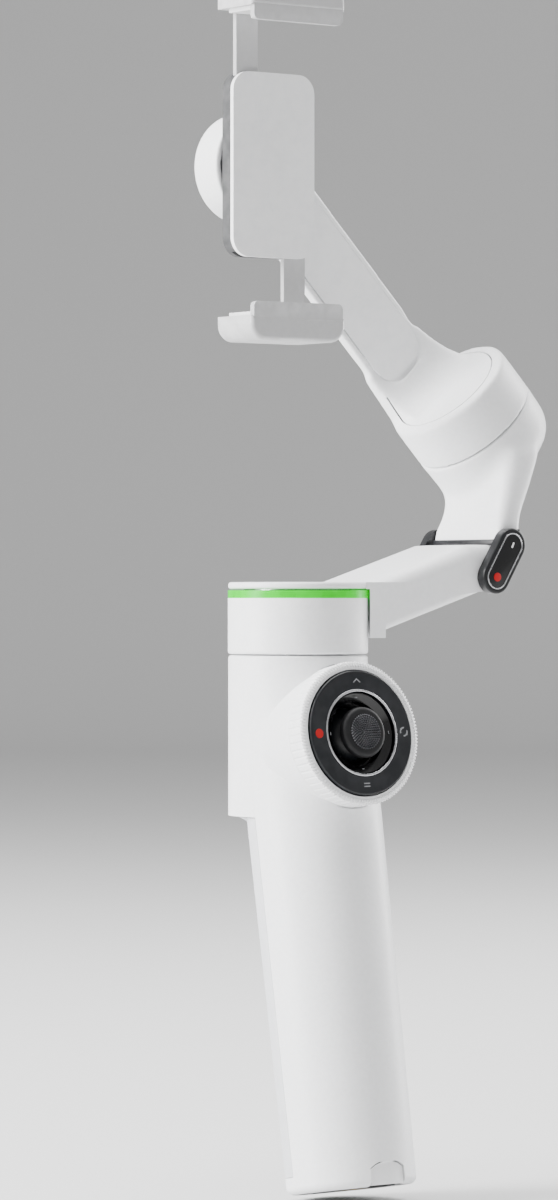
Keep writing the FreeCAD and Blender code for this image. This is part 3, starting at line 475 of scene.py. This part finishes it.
# ---------------------------------------------------------------- control panel details
def make_dish_ring():
    """Thin bright ring between the button disc and the glossy dish, a little flattened."""
    gap_middle = 0.52 * MM      # from the dish's edge
    wire_r = 0.30 * MM
    flattening = 0.55
    sunk = 0.12 * MM
    deselect()
    bpy.ops.mesh.primitive_torus_add(major_segments=128, minor_segments=16,
                                     major_radius=DISH_R + gap_middle, minor_radius=wire_r)
    ring = added("dish_ring")
    select_points(ring, lambda point: point.z > 0)
    bpy.ops.transform.resize(value=(1, 1, flattening))
    leave_edit()
    settle(ring, lifted(PANEL, DISC_FACE - sunk), "direction_button", FINISHES["steel"])


def turn_sign(at, radius, start, sweep):
    """Curved stroke with an arrow head, one half of a turn-round sign."""
    width = 0.19 * MM
    deselect()
    bpy.ops.mesh.primitive_circle_add(vertices=8, radius=width, location=(radius, 0, 0),
                                      rotation=(math.radians(90), 0, 0), fill_type="NGON")
    stroke = added("turn_stroke")
    pick(stroke)
    bpy.ops.object.mode_set(mode="EDIT")
    bpy.ops.mesh.select_all(action="SELECT")
    bpy.ops.mesh.spin(steps=18, angle=math.radians(sweep), center=(0, 0, 0), axis=(0, 0, 1))
    bpy.ops.mesh.select_all(action="SELECT")
    bpy.ops.mesh.remove_doubles(threshold=1e-6)
    bpy.ops.mesh.normals_make_consistent(inside=False)
    leave_edit()
    deselect()
    bpy.ops.mesh.primitive_cone_add(vertices=12, radius1=0.36 * MM, radius2=0.04 * MM, depth=0.6 * MM,
                                    location=(0, 0, 0), rotation=(math.radians(-90), 0, 0))
    head = soften(added("turn_head"), 0.03 * MM, 2)
    head.data.transform(spun(sweep) @ Matrix.Translation((radius, 0.2 * MM, 0)))
    sign = merged("turn_sign", [stroke, head])
    sign.data.transform(Matrix.Translation(at) @ Matrix.Diagonal((1, 1, 0.35, 1)) @ spun(start))
    return sign


def make_disc_marks():
    """Plain signs at the press points of the disc, and its red record dot."""
    middle = (DISC_R + DISH_R) / 2 + 0.2 * MM
    line = 0.3 * MM
    dot_r = 1.2 * MM
    strokes = [bar("arrow_stroke", (1.5 * MM, line, MARK), (side * 0.5 * MM, middle, 0), -side * 40)
               for side in (-1, 1)]
    strokes += [bar("menu_stroke", (1.9 * MM, line, MARK), (0, -middle + row * 0.75 * MM, 0))
                for row in (-0.5, 0.5)]
    strokes += [turn_sign((middle, 0, 0), 1.05 * MM, start, 120) for start in (20, 200)]
    marks = merged("disc_marks", strokes)
    settle(marks, lifted(PANEL, DISC_FACE), "direction_button", MARK_GREY)
    deselect()
    bpy.ops.mesh.primitive_cylinder_add(vertices=48, radius=dot_r, depth=MARK, location=(-middle, 0, 0))
    dot = soften(added("record_dot"), 0.04 * MM)
    settle(dot, lifted(PANEL, DISC_FACE), "direction_button", MARK_RED)


def make_dish_marks():
    """Four small strokes in the dish that show the stick's directions."""
    radius = (DISH_R + CAP_R) / 2 + 0.75 * MM
    stroke = bar("dish_marks", (0.8 * MM, 0.2 * MM, 0.8 * MARK), (0, radius, 0))
    marks = copies(stroke, [spun(90.0 * i) for i in range(4)])
    settle(marks, lifted(PANEL, DISH_FACE), "handle", MARK_GREY)


def make_stick_texture():
    """Raised diamonds on the hollow top of the stick's cap, coloured lighter than the cap as a painted highlight.
    """
    rings = 8
    ring_gap = 0.54 * MM
    spacing = 0.66 * MM
    hollow_r = 22.0 * MM
    hollow_depth = 0.5 * MM
    proud = 0.14 * MM
    deselect()
    bpy.ops.mesh.primitive_cone_add(vertices=4, radius1=0.41 * MM, radius2=0.14 * MM, depth=0.60 * MM)
    diamond = soften(added("stick_diamonds"), 0.03 * MM, 1)
    spots = [Matrix.Identity(4)]
    for ring in range(1, rings + 1):
        radius = ring * ring_gap
        rise = hollow_r - math.sqrt(hollow_r ** 2 - radius ** 2)
        count = round(2 * math.pi * radius / spacing)
        spots += [spun(360.0 * i / count) @ Matrix.Translation((radius, 0, rise)) for i in range(count)]
    texture = copies(diamond, spots)
    seat = lifted(PANEL, CAP_FACE - hollow_depth + proud)
    # The diamonds take the lighter tip colour, a painted highlight.
    settle(texture, seat, "stick", STICK_TIPS_PAINTED_HIGHLIGHT, 20)


def make_stick_skirt():
    """Dome round the stick's pivot that closes the space under its cap."""
    dome_r = 7.75 * MM
    cut_height = 2.4 * MM
    wall_thickness = 0.5 * MM
    deselect()
    bpy.ops.mesh.primitive_uv_sphere_add(segments=96, ring_count=48, radius=dome_r)
    dome = added("stick_skirt")
    pick(dome)
    bpy.ops.object.mode_set(mode="EDIT")
    bpy.ops.mesh.select_all(action="SELECT")
    bpy.ops.mesh.bisect(plane_co=(0, 0, cut_height), plane_no=(0, 0, 1), clear_inner=True)
    leave_edit()
    wall = dome.modifiers.new("wall", "SOLIDIFY")
    wall.thickness = wall_thickness
    wall.offset = -1.0
    bpy.ops.object.modifier_apply(modifier=wall.name)
    place = axes_place(STICK_AT, PANEL_RIGHT, PANEL_UP, PANEL_OUT)
    settle(dome, place, "stick", FINISHES["control_black"])


def make_dial_knurl():
    """Fine ribs round the front edge of the dial wheel."""
    ribs = 132
    rib_size = (1.55 * MM, 0.42 * MM, 0.9 * MM)
    set_in, set_back = 0.62 * MM, 0.34 * MM     # from the wheel's outer edge and its front
    outer = node_reach("dial_wheel", PANEL_RIGHT, PANEL_AT)
    front = node_reach("dial_wheel", PANEL_OUT, PANEL_AT)
    rib = bar("dial_knurl", rib_size, (0, 0, 0), 0, 0.14 * MM)
    lean = Matrix.Rotation(math.radians(28), 4, "Y")
    seat = Matrix.Translation((outer - set_in, 0, front - set_back)) @ lean
    knurl = copies(rib, [spun(360.0 * i / ribs) @ seat for i in range(ribs)])
    settle(knurl, PANEL, "dial", FINISHES["shell_white"])


# ---------------------------------------------------------------- hinge plate details
def stretched_half(piece, length):
    """Pulls the upper half of a round piece up, which leaves a round-ended long one."""
    select_points(piece, lambda point: point.y > 0)
    bpy.ops.transform.translate(value=(0, length, 0))
    leave_edit()
    return piece


def make_hinge_inlay():
    """Glossy inlay of the hinge plate with its thin bright line, red dot and white bar."""
    low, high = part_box("hinge_plate_front")
    radius = FOLD_AT.z - low.z
    pivot = Vector((FOLD_AT.x, low.y, FOLD_AT.z))
    run = Vector((high.x - radius, low.y, high.z - radius)) - pivot
    up = run.normalized()
    out = Vector((0, -1, 0))
    place = axes_place(pivot, up.cross(out).normalized(), up, out)
    segments = 56
    half_step = math.pi / segments
    recess = 0.5 * MM
    glass_margin, glass_depth = 1.2 * MM, 0.4 * MM
    line_margin, line_r = 1.35 * MM, 0.17 * MM
    dot_r = 1.15 * MM
    deselect()
    bpy.ops.mesh.primitive_cylinder_add(vertices=segments, radius=radius - glass_margin, depth=glass_depth,
                                        rotation=(0, 0, half_step))
    glass = stretched_half(added("hinge_inlay"), run.length)
    soften(glass, 0.1 * MM)
    settle(glass, lifted(place, -recess + 0.2 * MM), "folding_arm", FINISHES["gloss_black"])
    deselect()
    bpy.ops.mesh.primitive_torus_add(major_segments=segments, minor_segments=12,
                                     major_radius=radius - line_margin, minor_radius=line_r,
                                     rotation=(0, 0, half_step))
    line = stretched_half(added("hinge_line"), run.length)
    settle(line, lifted(place, -0.08 * MM), "folding_arm", FINISHES["steel"])
    deselect()
    bpy.ops.mesh.primitive_cylinder_add(vertices=40, radius=dot_r, depth=0.3 * MM)
    dot = soften(added("hinge_dot"), 0.1 * MM)
    settle(dot, place, "folding_arm", MARK_RED)
    mark = bar("hinge_bar", (0.55 * MM, 1.5 * MM, 0.16 * MM), (0, run.length, 0), 6, 0.06 * MM)
    settle(mark, lifted(place, -0.06 * MM), "folding_arm", MARK_WHITE)


def make_fold_seat():
    """Dark lip across the lower edge of the upper arm, where it meets the pan arm."""
    half_y = (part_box("pan_arm")[1].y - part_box("pan_arm")[0].y) / 2
    seat = bar("fold_seat", (0.9 * MM, 2 * half_y - 1.2 * MM, 1.5 * MM),
               (FOLD_AT.x + 2.35 * MM, FOLD_AT.y, FOLD_AT.z + 9.2 * MM), 0, 0.3 * MM)
    settle(seat, Matrix.Identity(4), "folding_arm", FINISHES["hinge_black"])


# ---------------------------------------------------------------- blended arm shells
def soft_shell(node, body, voxel, passes, blending):
    """Replaces an arm with a copy whose meeting shapes flow into each other."""
    shell = bpy.data.objects.new(node + "_shell", frame["nodes"][node].data.copy())
    bpy.context.scene.collection.objects.link(shell)
    pick(shell)
    bpy.ops.object.mode_set(mode="EDIT")
    bpy.ops.mesh.select_all(action="SELECT")
    bpy.ops.mesh.remove_doubles(threshold=1e-6)
    leave_edit()
    remesh = shell.modifiers.new("even_skin", "REMESH")
    remesh.mode = "VOXEL"
    remesh.voxel_size = voxel
    bpy.ops.object.modifier_apply(modifier=remesh.name)
    for label, count, weigh in (("edges", 5, None), ("blend", passes, blending)):
        smooth = shell.modifiers.new(label, "SMOOTH")
        smooth.iterations = count
        smooth.factor = 0.5
        group = shell.vertex_groups.new(name=label)
        for vertex in shell.data.vertices:
            weight = keep_seam(vertex.co) * (weigh(vertex.co) if weigh else 1.0)
            group.add([vertex.index], weight, "REPLACE")
        smooth.vertex_group = group.name
        bpy.ops.object.modifier_apply(modifier=smooth.name)
    shell.vertex_groups.clear()
    settle(shell, Matrix.Identity(4), body, FINISHES["shell_white"], 60)
    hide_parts(node)
    return shell


def cut_face_gap(shell):
    """Round gap near the edge of the drum's face, cut by a leaning tube, so its depth changes."""
    radius = 14.6 * MM
    width = 0.38 * MM
    depth = 1.3 * MM
    lean = math.radians(-3.2)
    deselect()
    bpy.ops.mesh.primitive_cylinder_add(vertices=160, radius=radius, depth=8 * MM, end_fill_type="NOTHING")
    cutter = added("gap_cutter")
    middle = DRUM_FACE + 4 * MM - depth
    cutter.data.transform(Matrix.Translation((0, 0, middle)) @ Matrix.Rotation(lean, 4, "X"))
    wall = cutter.modifiers.new("wall", "SOLIDIFY")
    wall.thickness = width
    pick(cutter)
    bpy.ops.object.modifier_apply(modifier=wall.name)
    across = Vector((0, -1, 0))
    cutter.data.transform(axes_place(TILT_AT, across, TILT_OUT.cross(across), TILT_OUT))
    groove = shell.modifiers.new("face_gap", "BOOLEAN")
    groove.object = cutter
    groove.solver = "EXACT"
    pick(shell)
    bpy.ops.object.modifier_apply(modifier=groove.name)
    bpy.data.objects.remove(cutter)


def step(value, low, high):
    """0 below low, 1 above high, and smooth between."""
    share = min(1.0, max(0.0, (value - low) / (high - low)))
    return share * share * (3 - 2 * share)


def keep_seam(point):
    """0 at the parting plane of the tilt motor, 1 away from it."""
    return step(abs((point - TILT_AT).dot(TILT_OUT)), 0.6 * MM, 2.0 * MM)


def blend_upper_arm(point):
    """Where the arm runs into the back of the drum."""
    height = step(point.z, FOLD_AT.z + 12 * MM, FOLD_AT.z + 18 * MM)
    return height * step(-(point - TILT_AT).dot(TILT_OUT), 1.5 * MM, 5.0 * MM)


def blend_tilt_arm(point):
    """Where the drum's face runs into the plate, up to the cover in the plate."""
    reach = (point - TILT_AT).dot(TILT_OUT)
    return step(reach, 6.0 * MM, 10.0 * MM) * (1 - step(reach, 27.0 * MM, 34.0 * MM))


SKIN_VOXEL = 0.55 * MM
UPPER_ARM_PASSES = 240
TILT_ARM_PASSES = 50


def make_arm_shells():
    soft_shell("upper_arm", "folding_arm", SKIN_VOXEL, UPPER_ARM_PASSES, blend_upper_arm)
    cut_face_gap(soft_shell("tilt_arm", "tilt_frame", SKIN_VOXEL, TILT_ARM_PASSES, blend_tilt_arm))


# ---------------------------------------------------------------- room, light and camera
CAMERA_AZIMUTH = math.radians(36.0)
CAMERA_DISTANCE = 1.250
FOCAL_PER_HEIGHT = 4840.0 / 1200.0      # focal length in picture heights
AIM_OFFSET = 4.9 * MM                   # the view's centre line passes this far left of the pan axis
RIGHT = Vector((math.cos(CAMERA_AZIMUTH), -math.sin(CAMERA_AZIMUTH), 0))
FORWARD = Vector((math.sin(CAMERA_AZIMUTH), math.cos(CAMERA_AZIMUTH), 0))
UP = Vector((0, 0, 1))
AIM = Vector(JOINTS["pan_turn"]["pos_m"]) * Vector((1, 1, 0)) + UP * 150.0 * MM - RIGHT * AIM_OFFSET


def make_stage():
    """Pale floor that curves up into a wall behind the object."""
    half = 4.5      # every side and back view stands inside the room
    floor_z = CAD_BOX[0][2] - 1.0 * MM
    wall_height = 3.0
    curve_r = 0.8
    sky_strength = 0.62
    deselect()
    bpy.ops.mesh.primitive_plane_add(size=2 * half)
    floor = added("floor")
    select_points(floor, lambda point: point.y > 0)
    bpy.ops.mesh.extrude_region_move(TRANSFORM_OT_translate={"value": (0, 0, wall_height)})
    leave_edit()
    soften(floor, curve_r, 12)
    floor.data.transform(Matrix.Translation((0, 0, floor_z)) @ Matrix.Rotation(-CAMERA_AZIMUTH, 4, "Z"))
    pick(floor)
    bpy.ops.object.shade_smooth()
    material, tree, shader = start_material("floor_paper")
    coords = tree.nodes.new("ShaderNodeTexCoord").outputs["Object"]
    paper = noise(tree, coords, 900.0, 3.0)
    tree.links.new(blend(tree, ramp(tree, paper, 0.3, 0.7), (0.64, 0.64, 0.64, 1), (0.67, 0.67, 0.67, 1)),
                   shader.inputs["Base Color"])
    shader.inputs["Roughness"].default_value = 0.9
    floor.data.materials.append(material)
    world = bpy.data.worlds.new("studio")
    world.use_nodes = True
    sky = world.node_tree.nodes["Background"]
    sky.inputs["Color"].default_value = (1.0, 1.0, 1.0, 1.0)
    sky.inputs["Strength"].default_value = sky_strength
    bpy.context.scene.world = world


def soft_light(name, offset, size, power):
    """Rectangular soft light that faces the object."""
    data = bpy.data.lights.new(name, "AREA")
    data.shape = "RECTANGLE"
    data.size, data.size_y = size
    data.energy = power
    lamp = bpy.data.objects.new(name, data)
    lamp.location = AIM + RIGHT * offset[0] + FORWARD * offset[1] + UP * offset[2]
    lamp.rotation_euler = (AIM - lamp.location).to_track_quat("-Z", "Y").to_euler()
    bpy.context.scene.collection.objects.link(lamp)


def make_lights():
    soft_light("key_left", (-1.2, -0.35, 0.45), (0.6, 1.3), 72.0)
    soft_light("top", (0.0, 0.1, 1.4), (0.9, 0.9), 26.0)
    soft_light("edge_right", (1.0, 0.8, 0.2), (0.4, 1.3), 26.0)
    soft_light("backdrop_light", (0.0, 0.5, 1.6), (2.0, 0.6), 20.0)


def make_camera():
    """Level camera in front of the object and to its left."""
    data = bpy.data.cameras.new("camera")
    data.sensor_fit = "VERTICAL"
    data.sensor_height = 36.0
    data.lens = data.sensor_height * FOCAL_PER_HEIGHT
    data.clip_start = 0.01
    camera = bpy.data.objects.new("camera", data)
    camera.location = AIM - FORWARD * CAMERA_DISTANCE
    camera.rotation_euler = FORWARD.to_track_quat("-Z", "Y").to_euler()
    bpy.context.scene.collection.objects.link(camera)
    bpy.context.scene.camera = camera


# ---------------------------------------------------------------- build
deselect()
dress_nodes()
make_dish_ring()
make_disc_marks()
make_dish_marks()
make_stick_texture()
make_stick_skirt()
make_dial_knurl()
make_hinge_inlay()
make_fold_seat()
make_arm_shells()
make_stage()
make_lights()
make_camera()
